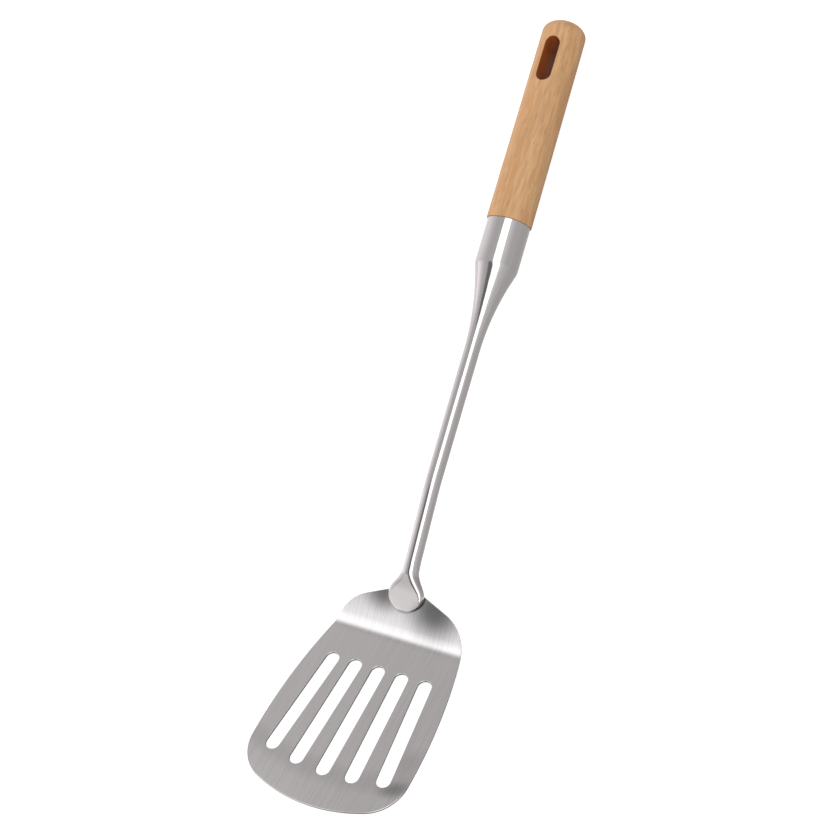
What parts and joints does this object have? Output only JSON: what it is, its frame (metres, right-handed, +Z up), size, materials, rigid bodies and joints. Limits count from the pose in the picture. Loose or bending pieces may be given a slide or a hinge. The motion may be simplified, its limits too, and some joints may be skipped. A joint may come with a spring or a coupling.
{
  "type": "slotted kitchen turner",
  "caption": "Slotted stainless turner: a bent blade with fanned drain slots, a tube stem flattened onto the blade's neck, a steel ferrule and a turned wooden grip with a hanging slot.",
  "frame": {"origin": "on the table under the middle of the turner's box, as it lies face up", "axes": "+X from the grip's end to the blade's tip, +Y across the blade, +Z up from the table"},
  "size_m": [0.391, 0.0828, 0.046],
  "materials": {
    "blade_steel": "fine lengthwise brushing, satin",
    "stem_steel": "satin polished",
    "ferrule_steel": "satin polished",
    "fixing_steel": "plain, as turned",
    "grip_wood": "oiled, open-pored, fine lengthwise grain"
  },
  "bodies": {
    "root": {"blade": "blade_steel", "stem": "stem_steel", "ferrule": "ferrule_steel", "anchor_disc": "fixing_steel", "tang_stud": "fixing_steel", "handle": "grip_wood"}
  },
  "joints": []
}
